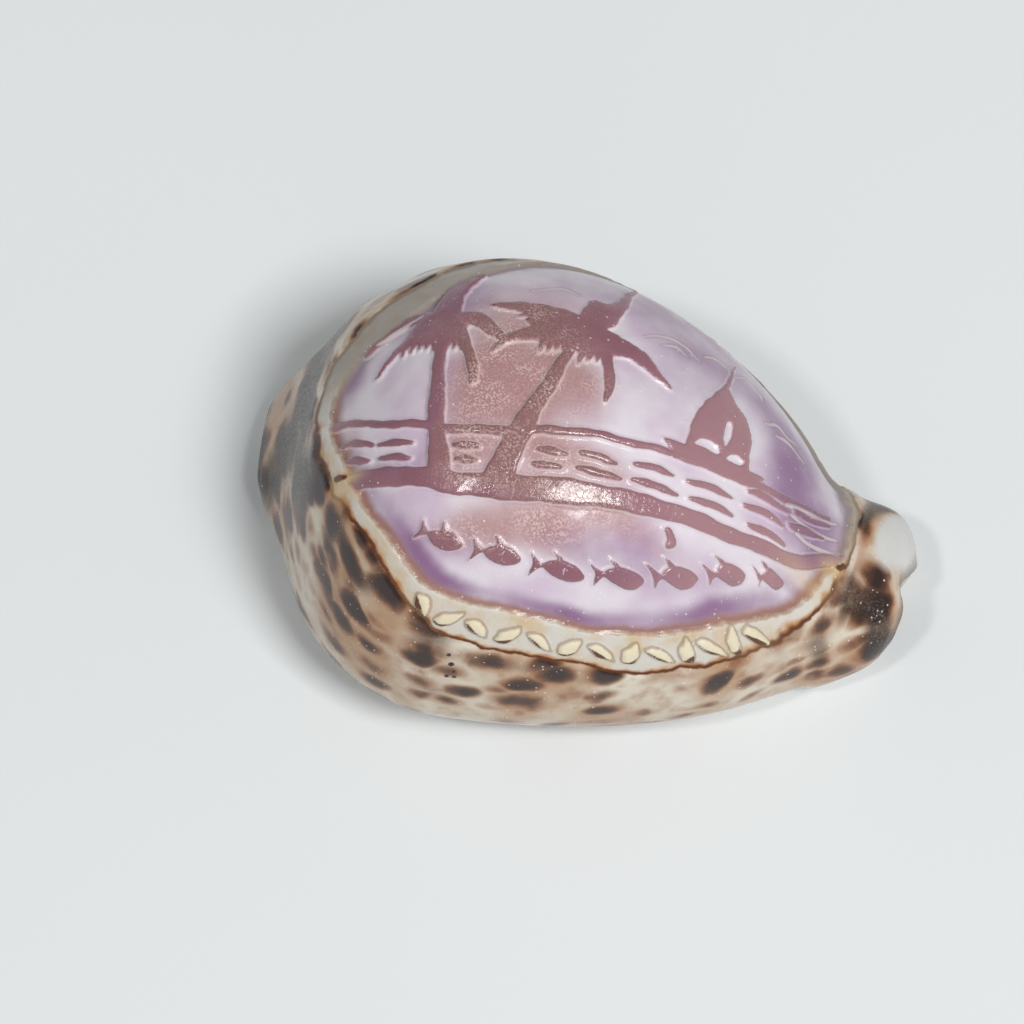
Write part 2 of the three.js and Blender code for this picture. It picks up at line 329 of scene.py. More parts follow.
def boat(relief):
    relief.shape([(9, -1.8), (11.8, -1.1), (15, -0.7), (19.8, 0.3), (22.6, 1.3), (20.4, -1.2), (15.4, -3),
                  (10.8, -2.9)])
    relief.shape([(11.8, -1.2), (11.9, 1), (12.2, 3.6), (12.8, 6.8), (13.9, 9.3), (14.9, 11.8),
                  (15.7, 11.2), (16.9, 9.3), (18.5, 7.9), (19.6, 5.7), (20.1, 2.8), (20.6, 0)], smooth=False)
    relief.stroke([(15.1, 11), (15, 15), (15.1, 18.6)], [0.35, 0.2, 0.1])
    relief.shape([(12.8, -0.5), (13.4, 0.6), (14.8, 1.3), (16, 0.9), (16, 0), (14.4, -0.3)], hole=True)
    relief.shape([(17.1, 0.2), (17.5, 1), (18.6, 1.6), (19.6, 1.2), (19.2, 0.6), (18, 0.3)], hole=True)
    relief.shape([(16.3, 5.6), (16.9, 5.6), (17.3, 4), (16.9, 1.9), (16.4, 2.8)], hole=True)


def sea(relief):
    relief.stroke([(-35.4, -3.4), (-29.4, -5.2), (-24.8, -6), (-20, -6.6), (-15, -6.8), (-9, -6.6),
                   (-4, -5.7), (1, -4.9), (6, -4.2), (11, -3.2), (16, -2.3), (21, -0.7), (26, 1.6), (31, 4)],
                  [0.45, 0.55, 0.6, 0.6, 0.55, 0.5, 0.5, 0.5, 0.35])
    relief.stroke([(-30.4, -13), (-25, -13.2), (-20, -13.5), (-15, -14.1), (-10, -14.3), (-5, -14),
                   (0, -13.1), (5, -12.2), (10, -11.1), (15, -10), (20, -8.7), (25, -6.7), (30, -3.6),
                   (33.4, -1)],
                  [1.3, 1.3, 1.4, 1.7, 1.7, 1.5, 1.3, 1.1, 0.9, 0.8, 0.8])
    # Short ripples, in two rows between the horizon and the shore: middle, length and rise of each.
    for x, v, length, climb in [
            (-29.9, -7.9, 4.2, -1), (-24.7, -8.7, 4.4, -0.6), (-29.4, -10.2, 3.4, -0.7),
            (-24.3, -10.7, 4.2, -0.4), (-15.3, -9.1, 3.2, 0), (-15, -10.9, 2.8, 0), (-4.2, -8.7, 3.6, 0.1),
            (-4.4, -10.7, 3.6, 0.2), (1.7, -7.9, 5, 0.3), (2.2, -9.8, 5.6, 0.7), (8.8, -6.5, 5, 0.9),
            (9.4, -8.6, 5.8, 1), (16.2, -5, 6, 1.4), (16.8, -7, 5.6, 1.5), (23.4, -3, 5, 1.8),
            (24.4, -5, 4.6, 1.8), (23.6, -0.9, 5.4, 2), (29, -0.2, 3.8, 1.9), (29.4, 2, 4, 1.8)]:
        relief.stroke([(x - length / 2, v - climb / 2), (x, v + 0.08), (x + length / 2, v + climb / 2)],
                      [0.28, 0.5, 0.48, 0.24])


def fish(relief, x, v, length, turn):
    """A small plain fish, swimming forward."""
    c, s = math.cos(turn), math.sin(turn)

    def placed(points):
        return [(x + length * (c * a - s * b), v + length * (s * a + c * b)) for a, b in points]

    relief.shape(placed([(0.5, 0), (0.34, 0.14), (0.08, 0.2), (-0.16, 0.1), (-0.28, 0.04), (-0.5, 0.22),
                         (-0.42, 0), (-0.5, -0.22), (-0.28, -0.04), (-0.16, -0.1), (0.08, -0.2),
                         (0.34, -0.14)]))
    relief.stroke(placed([(0.02, 0.2), (-0.1, 0.32)]), [0.35, 0.1], smooth=False)
    relief.shape(placed([(0.16, 0.12), (0.12, 0), (0.16, -0.12), (0.09, 0)]), hole=True)


def shoal(relief):
    for x, v, length, turn in [(-16.2, -21.4, 6.6, -0.32), (-8.6, -23.2, 7, -0.1), (-0.6, -23.6, 7.2, 0.06),
                               (7.2, -21.8, 7, 0.3), (14.2, -18.2, 7, 0.5), (20.4, -13.8, 6.2, 0.62),
                               (25.8, -9.6, 4.6, 0.66)]:
        fish(relief, x, v, length, turn)
    relief.stroke([(12.2, -13.2), (12.9, -14.2), (12.5, -15)], [0.5, 0.6, 0.3])


def sky(relief):
    """Thin scratched clouds, and a few scratches on the sea at the front end."""
    for line in [[(3.4, 13.8), (5, 15.2), (7, 15.9), (9, 15.4), (10.8, 14.2)],
                 [(5.8, 13.2), (7.4, 14.3), (9.2, 13.6)], [(11.4, 16), (12.6, 17.4), (14.8, 17.2)],
                 [(15.8, 16.2), (17.2, 18.4), (19.2, 17.6), (19.8, 16)],
                 [(21, 10.8), (22.6, 13), (24, 12.6), (25.6, 13.8)],
                 [(22.6, 10.4), (24.4, 11.6), (26.6, 11)], [(-30.6, 7.4), (-28, 9.6), (-25.8, 11.6)],
                 [(-13, 18), (-9.4, 19.6), (-6.6, 18.4)],
                 [(27, 0.4), (30, 0.7), (32.8, 1.6)], [(28.2, -1.3), (31, -1.2), (33, -0.4)],
                 [(26, 1), (29, 2.4), (32.4, 4)]]:
        relief.stroke(line, [0.15, 0.3, 0.15])


LEAVES = 13


def terrace_leaves(relief, glaze_chips_and_shade):
    """A run of plain leaves on the cream terrace, with flakes of the brown glaze left along their lower
    flanks, which also serve as painted shadow under each leaf.
    """
    stem = curved([(-18.4, -29.6), (-13.6, -32.8), (-8, -34.4), (-2, -34.7), (4, -34.2), (9.7, -32.4),
                   (14.8, -29.4), (18.8, -25.8), (22.8, -21.4), (26.2, -16.6)], closed=False, steps=8)
    run = np.concatenate([[0], np.cumsum(np.linalg.norm(np.diff(stem, axis=0), axis=1))])
    for i in range(LEAVES):
        at = run[-1] * (i + 0.5) / LEAVES
        foot = np.array([np.interp(at, run, stem[:, 0]), np.interp(at, run, stem[:, 1])])
        ahead = np.array([np.interp(at + 1, run, stem[:, 0]), np.interp(at + 1, run, stem[:, 1])]) - foot
        side = np.array([-ahead[1], ahead[0]]) * (1 if i % 2 else -0.8)
        tip = foot + 1.6 * side + 1.2 * ahead
        start = foot - 1.5 * ahead - 0.9 * side
        relief.stroke([start, foot + 0.1 * side, tip], [0.25, 0.95, 0.7, 0.12])
        # The flakes run along the lower flank of each leaf, away from the picture, and stand in for its
        # painted shadow as well.
        low = np.array([ahead[1], -ahead[0]])
        flank = 0.5 * ahead + 0.3 * side
        glaze_chips_and_shade.stroke([start + 0.2 * low, foot - flank + 0.8 * low, foot + flank + 0.7 * low],
                     [0.2, 0.3 if i % 3 else 0.5, 0.1])
    glaze_chips_and_shade.stroke([(-31.6, -12), (-30.4, -12.1)], [0.45, 0.35], smooth=False)
    glaze_chips_and_shade.stroke([(33.4, -2.4), (34, -1.7)], [0.4, 0.4], smooth=False)


# ---- The carved shell ----
# The whole object is this one piece of enamelled lime, left hollow by the animal. The carver has cut the
# picture through its layers with a small wheel, and the two rows of teeth along its mouth grew with it.

FINE_STEP = 0.335
END_STEP = 0.6
SIDE_STEP = 0.8
INNER_STEP = 1.5
PICTURE_ALONG = (-39.5, 35.5)
PICTURE_ROUND = (-44.5, 36)


def smooth_weights(places, count):
    """Weights that draw smooth lines through evenly numbered rows of points."""
    first = np.clip(np.floor(places).astype(int), 0, count - 2)
    t = places - first
    rows = np.arange(len(places))
    weights = np.zeros((len(places), count + 2))
    weights[rows, first] = 0.5 * (-t + 2 * t ** 2 - t ** 3)
    weights[rows, first + 1] = 0.5 * (2 - 5 * t ** 2 + 3 * t ** 3)
    weights[rows, first + 2] = 0.5 * (t + 4 * t ** 2 - 3 * t ** 3)
    weights[rows, first + 3] = 0.5 * (t ** 3 - t ** 2)
    weights[:, 1] += 2 * weights[:, 0]
    weights[:, 2] -= weights[:, 0]
    weights[:, -2] += 2 * weights[:, -1]
    weights[:, -3] -= weights[:, -1]
    return weights[:, 1:-1]


def fine_places(marks, picture, plain_step):
    """Row numbers for the fine mesh: close together across the picture, wider elsewhere."""
    low, high = picture
    counts = [max(2, round((end - start) / step)) for start, end, step in [
        (marks[0], low, plain_step), (low, high, FINE_STEP), (high, marks[-1], plain_step)]]
    spans = [np.linspace(marks[0], low, counts[0], endpoint=False),
             np.linspace(low, high, counts[1], endpoint=False),
             np.linspace(high, marks[-1], counts[2] + 1)]
    return np.interp(np.concatenate(spans), marks, np.arange(len(marks)))


def thinned(places, marks):
    """The rows that the plainer inner face keeps."""
    run = np.interp(places, np.arange(len(marks)), marks)
    kept = [0]
    for row in range(1, len(places) - 1):
        if run[row] - run[kept[-1]] >= INNER_STEP and run[-1] - run[row] > INNER_STEP / 2:
            kept.append(row)
    return kept + [len(places) - 1]


coarse_outside, coarse_inside, coarse_sheet = wall_faces()
stations = coarse_sheet[:, coarse_sheet.shape[1] // 2, 0]
girth = coarse_sheet[len(coarse_sheet) // 2, :, 1]
along_places = fine_places(stations, PICTURE_ALONG, END_STEP)
round_places = fine_places(girth, PICTURE_ROUND, SIDE_STEP)
along_weights = smooth_weights(along_places, len(stations))
round_weights = smooth_weights(round_places, len(girth))
outside, inside, sheet = (np.einsum("ai,ijk,bj->abk", along_weights, grid, round_weights)
                          for grid in (coarse_outside, coarse_inside, coarse_sheet))

# The outside is one grid. The inside keeps fewer of its rows, and the cells on its rim take in every
# point of the lip, so the wall is closed.
rows, columns = outside.shape[:2]
number = np.arange(rows * columns).reshape(rows, columns)
faces = np.stack([number[:-1, :-1], number[1:, :-1], number[1:, 1:], number[:-1, 1:]], axis=-1)
faces = faces.reshape(-1, 4).tolist()
keep_rows, keep_columns = thinned(along_places, stations), thinned(round_places, girth)
inner_number = {}
inner_points = []
for a in keep_rows[1:-1]:
    for b in keep_columns[1:-1]:
        inner_number[a, b] = rows * columns + len(inner_points)
        inner_points.append((a, b))


def wall_point(a, b):
    on_rim = a in (0, rows - 1) or b in (0, columns - 1)
    return int(number[a, b]) if on_rim else inner_number[a, b]


def side_points(start, end):
    """One side of an inner cell, with every lip point on it when it lies on the rim."""
    (a0, b0), (a1, b1) = start, end
    if a0 == a1 and a0 in (0, rows - 1):
        return [int(number[a0, b]) for b in range(b0, b1, 1 if b1 > b0 else -1)]
    if b0 == b1 and b0 in (0, columns - 1):
        return [int(number[a, b0]) for a in range(a0, a1, 1 if a1 > a0 else -1)]
    return [wall_point(a0, b0)]


for a0, a1 in zip(keep_rows[:-1], keep_rows[1:]):
    for b0, b1 in zip(keep_columns[:-1], keep_columns[1:]):
        corners = [(a0, b0), (a0, b1), (a1, b1), (a1, b0)]
        cell = []
        for start, end in zip(corners, corners[1:] + corners[:1]):
            cell += side_points(start, end)
        faces.append(cell)

pick = tuple(np.array(inner_points).T)
points = np.concatenate([outside.reshape(-1, 3), inside[pick]])
place = np.concatenate([sheet.reshape(-1, 3), sheet[pick]])
on_outside = np.concatenate([np.ones(rows * columns), np.zeros(len(inner_points))])
middle = (coarse_outside.reshape(-1, 3).min(axis=0) + coarse_outside.reshape(-1, 3).max(axis=0)) / 2
points -= (middle[0], middle[1], FLAT)
points[:, 2] = np.maximum(points[:, 2], 0)

# Where the cuts go, in the sheet's millimetres. The carver's hand shakes a little, so the outlines do.
hand = np.stack([0.11 * np.sin(0.9 * place[:, 1] + 2.1 * np.sin(0.31 * place[:, 0]))
                 + 0.05 * np.sin(2.3 * place[:, 1] + 1.3 * place[:, 0]),
                 0.11 * np.sin(0.8 * place[:, 0] + 2.3 * np.sin(0.27 * place[:, 1]))
                 + 0.05 * np.sin(2.1 * place[:, 0] - 1.7 * place[:, 1])], axis=-1)
spot = place[:, :2] + hand
cut = within(spot + 0.6 * hand, curved(CUT_EDGE, steps=6))
picture = within(spot, curved(PICTURE_EDGE, steps=6))
cut[on_outside == 0] = picture[on_outside == 0] = -9
busy = (cut > -2) & (on_outside > 0)

relief = Relief(spot[busy])
left_palm(relief)
right_palm(relief)
boat(relief)
sea(relief)
shoal(relief)
leaves, glaze_chips_and_shade = Relief(spot[busy]), Relief(spot[busy])
terrace_leaves(leaves, glaze_chips_and_shade)
clouds = Relief(spot[busy])
sky(clouds)


def spread(values):
    """Values for the carved part alone, laid out over the whole mesh."""
    full = np.full(len(place), -3.0)
    full[busy] = values
    return full


def dabs(marks):
    """Soft patches, each with its middle, half sizes and strength."""
    shade = np.zeros(len(place))
    for u, v, half_u, half_v, strength in marks:
        away = ((place[:, 0] - u) / half_u) ** 2 + ((place[:, 1] - v) / half_v) ** 2
        shade = 1 - (1 - shade) * (1 - strength * np.exp(-away))
    return np.where(on_outside > 0, shade, 0)


# The shell's own colours under the cuts, and where its glaze is darkest and palest.
rose = dabs([(-14, 3, 6.5, 7, 0.9), (-16, -2, 5, 5, 0.8), (-9, 0, 6, 7, 0.9), (-3, 1, 5.5, 5.5, 0.7),
             (-15, -9.5, 5, 4, 0.8), (-4, -8.8, 8, 3.5, 0.8), (4.5, -9, 5, 3, 0.4), (-12, -20, 7, 4, 0.75),
             (-3, -18, 7, 4.5, 0.85), (5, -15, 6, 2.4, 0.6), (-13, 12, 12, 7, 0.6), (14, -17, 6, 3, 0.3),
             (-32, -8, 2.4, 4.5, 0.6), (-5, -13.2, 12, 1.5, 0.8)])
lilac = dabs([(-33, 3.5, 2, 5, 0.9), (-28, 10, 4, 4, 0.5), (-22, 15, 5, 6, 0.7), (2, 22, 18, 6, 0.6),
              (-27, -2.5, 3, 3, 0.25), (4, 4, 7, 6, 0.3), (11, 9, 6, 5, 0.35), (11, 15, 8, 4, 0.6),
              (20, 15, 6, 5, 0.5), (26, 5.4, 4, 7, 0.95), (25, 11, 4, 5, 0.7), (30, 1.6, 3.5, 5, 0.95),
              (31, -2.5, 2, 2, 0.7), (-20, -21, 4, 3, 0.4), (10, -18.4, 9, 5, 0.5), (22, -14.5, 6, 3, 0.4),
              (2, -21, 7, 4, 0.4), (-13, -23, 5, 3, 0.4), (-20.6, -2, 1.5, 9, 0.6), (-25, -12, 5, 1.8, 0.6),
              (29, -8, 3.5, 1.8, 0.6)])
# A violet hem just inside the lower edge of the picture.
hem = (0.75 + 0.2 * np.sin(0.35 * place[:, 0] + 1)) * np.exp(-((picture - 1.5) / 1.9) ** 2)
hem *= ease(-6, -12, place[:, 1]) * on_outside
lilac = np.maximum(lilac, np.where(picture > 0, hem, 0))
umber = dabs([(-38.6, 5, 1.8, 8, 1), (38.4, 9.6, 2.6, 2.4, 0.9), (-34.6, -11, 2.6, 4.4, 0.95),
              (-31, -19.2, 2.8, 3.8, 0.8), (-24.4, -28, 4, 3.2, 0.65), (-14.6, -36, 5, 2.6, 0.75),
              (-41, 0, 3.4, 5, 1), (-38.6, 9, 2.4, 5, 1), (-43, -1, 2.4, 4, 0.8), (-36.6, 14, 2, 4, 0.8),
              (-37, -7, 2.6, 5, 0.85), (38, -6, 4, 3.4, 0.85), (43, -9, 3, 4, 1), (35.6, -4, 1.8, 4, 0.9),
              (33, -13, 3.4, 4, 0.7), (36, 7, 2.4, 3.5, 0.9), (28, -18, 3, 3, 0.5), (-8, -39.6, 7, 2.2, 0.6),
              (5, -39.6, 8, 2.2, 0.4), (-14.8, -46.5, 3.4, 1.6, 0.6), (16, -34, 4, 2.4, 0.5)])
# Glaze left dark beside the lower edge of the cut.
burr = 0.35 * np.exp(-((cut + 1.2) / 1.4) ** 2) * ease(-2, -10, place[:, 1]) * on_outside
umber = np.maximum(umber, np.where(cut < 0, burr, 0))
pale = dabs([(42.2, 4, 4.4, 7.5, 1.15), (22, -34, 12, 8, 0.55), (2, -52, 30, 5, 0.4),
             (-44.4, -9, 1.6, 9, 0.6)])
tan = dabs([(37.2, 4, 1.6, 5, 0.9), (38.6, 10, 2.4, 3, 0.8), (-42.6, 8, 2.8, 5, 0.6), (30, -22, 6, 5, 0.3),
            (-24, -34, 8, 4, 0.4), (39, 20, 4, 6, 0.5), (-30.4, -12.2, 1.9, 0.9, 1.1),
            (33, -2.8, 1.6, 1.2, 1), (30, -6, 3, 1.6, 0.5), (-44, 10, 1.6, 3, 0.7),
            (-31.5, -14.6, 2.2, 3, 0.5)])

# A few worm holes below the cut, each with its radius.
pits = [(-12.8, -38.9, 0.35), (-12.4, -40.7, 0.45), (-12, -42.1, 0.3), (-12.9, -43.1, 0.35),
        (-11.9, -43.2, 0.32)]
pit = np.max([radius - np.hypot(place[:, 0] - u, place[:, 1] - v) for u, v, radius in pits], axis=0)
pit[on_outside == 0] = -3

# The way to the nearest lip, along the wall.
lip_row = np.zeros((rows, columns, 3))
lip_row[:, : columns // 2] = (outside[:, :1] - outside[:, 3:4])
lip_row[:, columns // 2:] = (outside[:, -1:] - outside[:, -4:-3])
lip_row /= np.maximum(np.linalg.norm(lip_row, axis=2, keepdims=True), 1e-6)
lipward = np.concatenate([lip_row.reshape(-1, 3), lip_row[pick]])

blank = bpy.data.meshes.new("uncut_cowrie")
blank.from_pydata((points * MM).tolist(), [], faces)
blank.update()
blank.shade_smooth()
for name, values in {
        "cut": cut, "picture": picture, "motif": spread(relief.inside), "leaf": spread(leaves.inside),
        "cloud": spread(clouds.inside), "chip_and_shade": spread(glaze_chips_and_shade.inside), "pit": pit, "rose": rose,
        "lilac": lilac, "umber": umber, "pale": pale, "tan": tan, "outside": on_outside}.items():
    blank.attributes.new(name, "FLOAT", "POINT").data.foreach_set("value", values.astype(np.float32))
for name, values in {"sheet": place, "lipward": lipward}.items():
    attribute = blank.attributes.new(name, "FLOAT_VECTOR", "POINT")
    attribute.data.foreach_set("vector", values.astype(np.float32).ravel())

# The carving tree sinks the skin by the depth of each layer, and draws the lips in between their teeth.
CARVING = {
    "Terrace Depth": 0.45 * MM, "Ground Depth": 1.15 * MM, "Relief Depth": 0.62 * MM,
    "Leaf Height": 0.55 * MM, "Scratch Depth": 0.12 * MM, "Scrape Depth": 0.035 * MM,
    "Scrape Size": 1.6 * MM, "Tooth Pitch": 3.927, "Groove Depth": 0.8 * MM, "Groove Reach": 6.0,
    "Lip Notch": 0.55 * MM, "Seed": 7.0,
}
# How far the wall of a cut slopes to each side of its line, in millimetres.
SLOPE = 0.26


def join(tree, kind, sockets=None, **settings):
    """Adds a node, and links or sets its inputs."""
    made = tree.nodes.new(kind)
    for name, value in settings.items():
        setattr(made, name, value)
    for socket, value in (sockets or {}).items():
        if isinstance(value, bpy.types.NodeSocket):
            tree.links.new(value, made.inputs[socket])
        else:
            made.inputs[socket].default_value = value
    return made


def sums(tree, operation, *values):
    return join(tree, "ShaderNodeMath", dict(enumerate(values)), operation=operation).outputs[0]


def rise(tree, value, low, high, start=0.0, end=1.0):
    """A smooth step from start to end, as the value goes from low to high."""
    return join(tree, "ShaderNodeMapRange", {"Value": value, "From Min": low, "From Max": high,
                                             "To Min": start, "To Max": end},
                interpolation_type="SMOOTHSTEP").outputs["Result"]


carving = bpy.data.node_groups.new("cowrie_carving", "GeometryNodeTree")
carving.interface.new_socket("Geometry", in_out="INPUT", socket_type="NodeSocketGeometry")
for name in CARVING:
    carving.interface.new_socket(name, in_out="INPUT", socket_type="NodeSocketFloat")
carving.interface.new_socket("Geometry", in_out="OUTPUT", socket_type="NodeSocketGeometry")
given = carving.nodes.new("NodeGroupInput").outputs


def named(name, kind="FLOAT"):
    return join(carving, "GeometryNodeInputNamedAttribute", {"Name": name}, data_type=kind).outputs[0]


in_cut = rise(carving, named("cut"), -SLOPE, SLOPE)
in_picture = rise(carving, named("picture"), -SLOPE, SLOPE)
standing = rise(carving, named("motif"), -SLOPE, SLOPE * 0.6)
leafy = sums(carving, "MULTIPLY", rise(carving, named("leaf"), -0.2, 0.3),
             sums(carving, "SUBTRACT", in_cut, in_picture))
leafy = sums(carving, "MAXIMUM", leafy, 0.0)
scratched = sums(carving, "MULTIPLY", rise(carving, named("cloud"), -0.15, 0.2), in_picture)
ground_drop = sums(carving, "SUBTRACT", given["Ground Depth"], given["Terrace Depth"])
stand_up = sums(carving, "SUBTRACT", given["Ground Depth"], given["Relief Depth"])
chipped = rise(carving, named("chip_and_shade"), -0.15, 0.25)
scrape = join(carving, "ShaderNodeTexNoise", {
    "Vector": join(carving, "GeometryNodeInputPosition").outputs[0],
    "W": given["Seed"], "Scale": sums(carving, "DIVIDE", 1.0, given["Scrape Size"]), "Detail": 2.0},
    noise_dimensions="4D").outputs[0]
scrape = sums(carving, "MULTIPLY", sums(carving, "SUBTRACT", scrape, 0.5),
              sums(carving, "MULTIPLY", given["Scrape Depth"], 4.0))
depth = sums(carving, "MULTIPLY", in_cut, given["Terrace Depth"])
for gain in (sums(carving, "MULTIPLY", in_picture, ground_drop), sums(carving, "MULTIPLY", scrape, in_cut),
             sums(carving, "MULTIPLY", scratched, given["Scratch Depth"])):
    depth = sums(carving, "ADD", depth, gain)
for loss in (sums(carving, "MULTIPLY", sums(carving, "MULTIPLY", standing, in_picture), stand_up),
             sums(carving, "MULTIPLY", leafy, given["Leaf Height"])):
    depth = sums(carving, "SUBTRACT", depth, loss)
depth = sums(carving, "MULTIPLY", depth, sums(carving, "SUBTRACT", 1.0, chipped))

sheet_place = join(carving, "ShaderNodeSeparateXYZ", {0: named("sheet", "FLOAT_VECTOR")}).outputs
turns = sums(carving, "DIVIDE", sheet_place[0], given["Tooth Pitch"])
turns = sums(carving, "MULTIPLY", turns, 2 * math.pi)
valley = sums(carving, "MULTIPLY_ADD", sums(carving, "COSINE", turns), -0.5, 0.5)
toothed = rise(carving, sums(carving, "ABSOLUTE", sheet_place[0]), 42.0, 37.0)
valley = sums(carving, "MULTIPLY", valley, toothed)
groove = sums(carving, "MULTIPLY", valley, rise(carving, sheet_place[2], given["Groove Reach"], 2.0))
groove = sums(carving, "MULTIPLY", groove, named("outside"))
depth = sums(carving, "MULTIPLY_ADD", groove, given["Groove Depth"], depth)
notch = sums(carving, "MULTIPLY", valley, rise(carving, sheet_place[2], 3.5, 0.0))
notch = sums(carving, "MULTIPLY", notch, sums(carving, "MULTIPLY", given["Lip Notch"], -1.0))

sunk = join(carving, "ShaderNodeVectorMath", {
    0: join(carving, "GeometryNodeInputNormal").outputs[0],
    "Scale": sums(carving, "MULTIPLY", depth, -1.0)}, operation="SCALE").outputs[0]
drawn_in = join(carving, "ShaderNodeVectorMath", {0: named("lipward", "FLOAT_VECTOR"), "Scale": notch},
                operation="SCALE").outputs[0]
moved = join(carving, "GeometryNodeSetPosition", {
    "Geometry": given["Geometry"],
    "Offset": join(carving, "ShaderNodeVectorMath", {0: sunk, 1: drawn_in}, operation="ADD").outputs[0]})
whole = join(carving, "GeometryNodeRealizeInstances", {0: moved.outputs[0]})

# The skin: glazed and spotted outside the cut, and the shell's coloured layers inside it.
skin = bpy.data.materials.new("carved_enamel")
skin.use_nodes = True
lining = bpy.data.materials.new("lilac_lining")
lining.use_nodes = True

skinned = join(carving, "GeometryNodeSetMaterial", {0: whole.outputs[0], "Material": skin})
is_inside = join(carving, "FunctionNodeCompare", {0: named("outside"), 1: 0.5}, data_type="FLOAT",
                 operation="LESS_THAN").outputs[0]
lined = join(carving, "GeometryNodeSetMaterial", {0: skinned.outputs[0], "Selection": is_inside,
                                                 "Material": lining})
carving.links.new(lined.outputs[0], carving.nodes.new("NodeGroupOutput").inputs[0])

uncut = bpy.data.objects.new("uncut_cowrie", blank)
bpy.context.collection.objects.link(uncut)
cutting = uncut.modifiers.new("carving", "NODES")
cutting.node_group = carving
for socket in carving.interface.items_tree:
    if socket.in_out == "INPUT" and socket.name in CARVING:
        cutting[socket.identifier] = CARVING[socket.name]
carved = bpy.data.meshes.new_from_object(uncut.evaluated_get(bpy.context.evaluated_depsgraph_get()))
bpy.data.objects.remove(uncut)
shell = bpy.data.objects.new("carved_cowrie", carved)
bpy.context.collection.objects.link(shell)


def grime_group():
    """White dust and dark pits, which both skins have: a mask, and a height for the bump."""
    group = bpy.data.node_groups.new("settled_dust", "ShaderNodeTree")
    for name in ("Grain", "Amount"):
        group.interface.new_socket(name, in_out="INPUT", socket_type="NodeSocketFloat")
    group.interface.new_socket("Dust", in_out="OUTPUT", socket_type="NodeSocketFloat")
    group.interface.new_socket("Pits", in_out="OUTPUT", socket_type="NodeSocketFloat")
    put = group.nodes.new("NodeGroupInput").outputs
    where = join(group, "ShaderNodeTexCoord").outputs["Object"]
    patch = join(group, "ShaderNodeTexNoise", {"Vector": where, "Scale": 110.0, "Detail": 3.0}).outputs[0]
    cells = join(group, "ShaderNodeTexVoronoi", {"Vector": where, "Scale": put["Grain"]})
    lucky = join(group, "ShaderNodeSeparateColor", {0: cells.outputs["Color"]}).outputs
    limit = sums(group, "MULTIPLY", rise(group, patch, 0.35, 0.7), put["Amount"])
    chosen = sums(group, "LESS_THAN", lucky[0], limit)
    size = sums(group, "MULTIPLY_ADD", lucky[1], 0.3, 0.08)
    speck = rise(group, sums(group, "DIVIDE", cells.outputs["Distance"], size), 1.0, 0.4)
    end = group.nodes.new("NodeGroupOutput").inputs
    group.links.new(sums(group, "MULTIPLY", speck, chosen), end["Dust"])
    fine = join(group, "ShaderNodeTexNoise", {"Vector": where, "Scale": 2600.0, "Detail": 2.0}).outputs[0]
    group.links.new(rise(group, fine, 0.62, 0.75), end["Pits"])
    return group


settled_dust = grime_group()


def tint(tree, share, below, above):
    """The colour above laid over the one below."""
    made = join(tree, "ShaderNodeMix", data_type="RGBA", clamp_factor=True)
    for index, value in ((0, share), (6, below), (7, above)):
        if isinstance(value, bpy.types.NodeSocket):
            tree.links.new(value, made.inputs[index])
        elif index:
            made.inputs[index].default_value = colour(value)
        else:
            made.inputs[index].default_value = value
    return made.outputs[2]


def colour(rgb):
    """A colour given as it looks, 0 to 255, for a shader socket."""
    linear = [c / 255 / 12.92 if c < 10 else ((c / 255 + 0.055) / 1.055) ** 2.4 for c in rgb]
    return (*linear, 1)


def mark(tree, name):
    return join(tree, "ShaderNodeAttribute", attribute_name=name).outputs["Fac"]


def noise(tree, where, scale, detail=2.0):
    return join(tree, "ShaderNodeTexNoise", {"Vector": where, "Scale": scale, "Detail": detail}).outputs[0]


tree = skin.node_tree
paint = tree.nodes["Principled BSDF"]
where = join(tree, "ShaderNodeTexCoord").outputs["Object"]
wobble = join(tree, "ShaderNodeTexNoise", {"Vector": where, "Scale": 95.0, "Detail": 2.0}).outputs["Color"]
shift = join(tree, "ShaderNodeVectorMath", {0: wobble, 1: (0.5, 0.5, 0.5)}, operation="SUBTRACT").outputs[0]
shift = join(tree, "ShaderNodeVectorMath", {0: shift, "Scale": 0.005}, operation="SCALE").outputs[0]
warped = join(tree, "ShaderNodeVectorMath", {0: where, 1: shift}, operation="ADD").outputs[0]
drawn_out = join(tree, "ShaderNodeVectorMath", {0: warped, 1: (0.85, 0.85, 1.5)},
                 operation="MULTIPLY").outputs[0]
umber_mark, pale_mark, tan_mark = mark(tree, "umber"), mark(tree, "pale"), mark(tree, "tan")
mottled = noise(tree, where, 420.0, 3.0)


def spots(scale, least, most):
    """A layer of the spots: how far outside its nearest spot a place is, as a share of the spacing."""
    cells = join(tree, "ShaderNodeTexVoronoi", {"Vector": drawn_out, "Scale": scale, "Smoothness": 0.3,
                                                "Randomness": 0.95}, feature="SMOOTH_F1")
    size = join(tree, "ShaderNodeSeparateColor", {0: cells.outputs["Color"]}).outputs[0]
    reach = sums(tree, "MULTIPLY_ADD", size, most - least, least)
    reach = sums(tree, "MULTIPLY_ADD", umber_mark, 0.24, reach)
    reach = sums(tree, "MULTIPLY_ADD", pale_mark, -0.35, reach)
    gap = sums(tree, "SUBTRACT", cells.outputs["Distance"], reach)
    return sums(tree, "MULTIPLY_ADD", sums(tree, "SUBTRACT", mottled, 0.5), 0.35, gap)


# The glaze's colours as they look, 0 to 255.
GLAZE = {"ivory": (216, 207, 190), "sand": (184, 152, 120), "fleck": (162, 114, 78), "tan": (178, 126, 86),
         "halo": (156, 106, 70), "brown": (94, 58, 40), "umber": (44, 33, 31), "cloud": (46, 35, 32),
         "dust": (172, 158, 146), "tip": (208, 207, 204), "base": (222, 215, 204)}

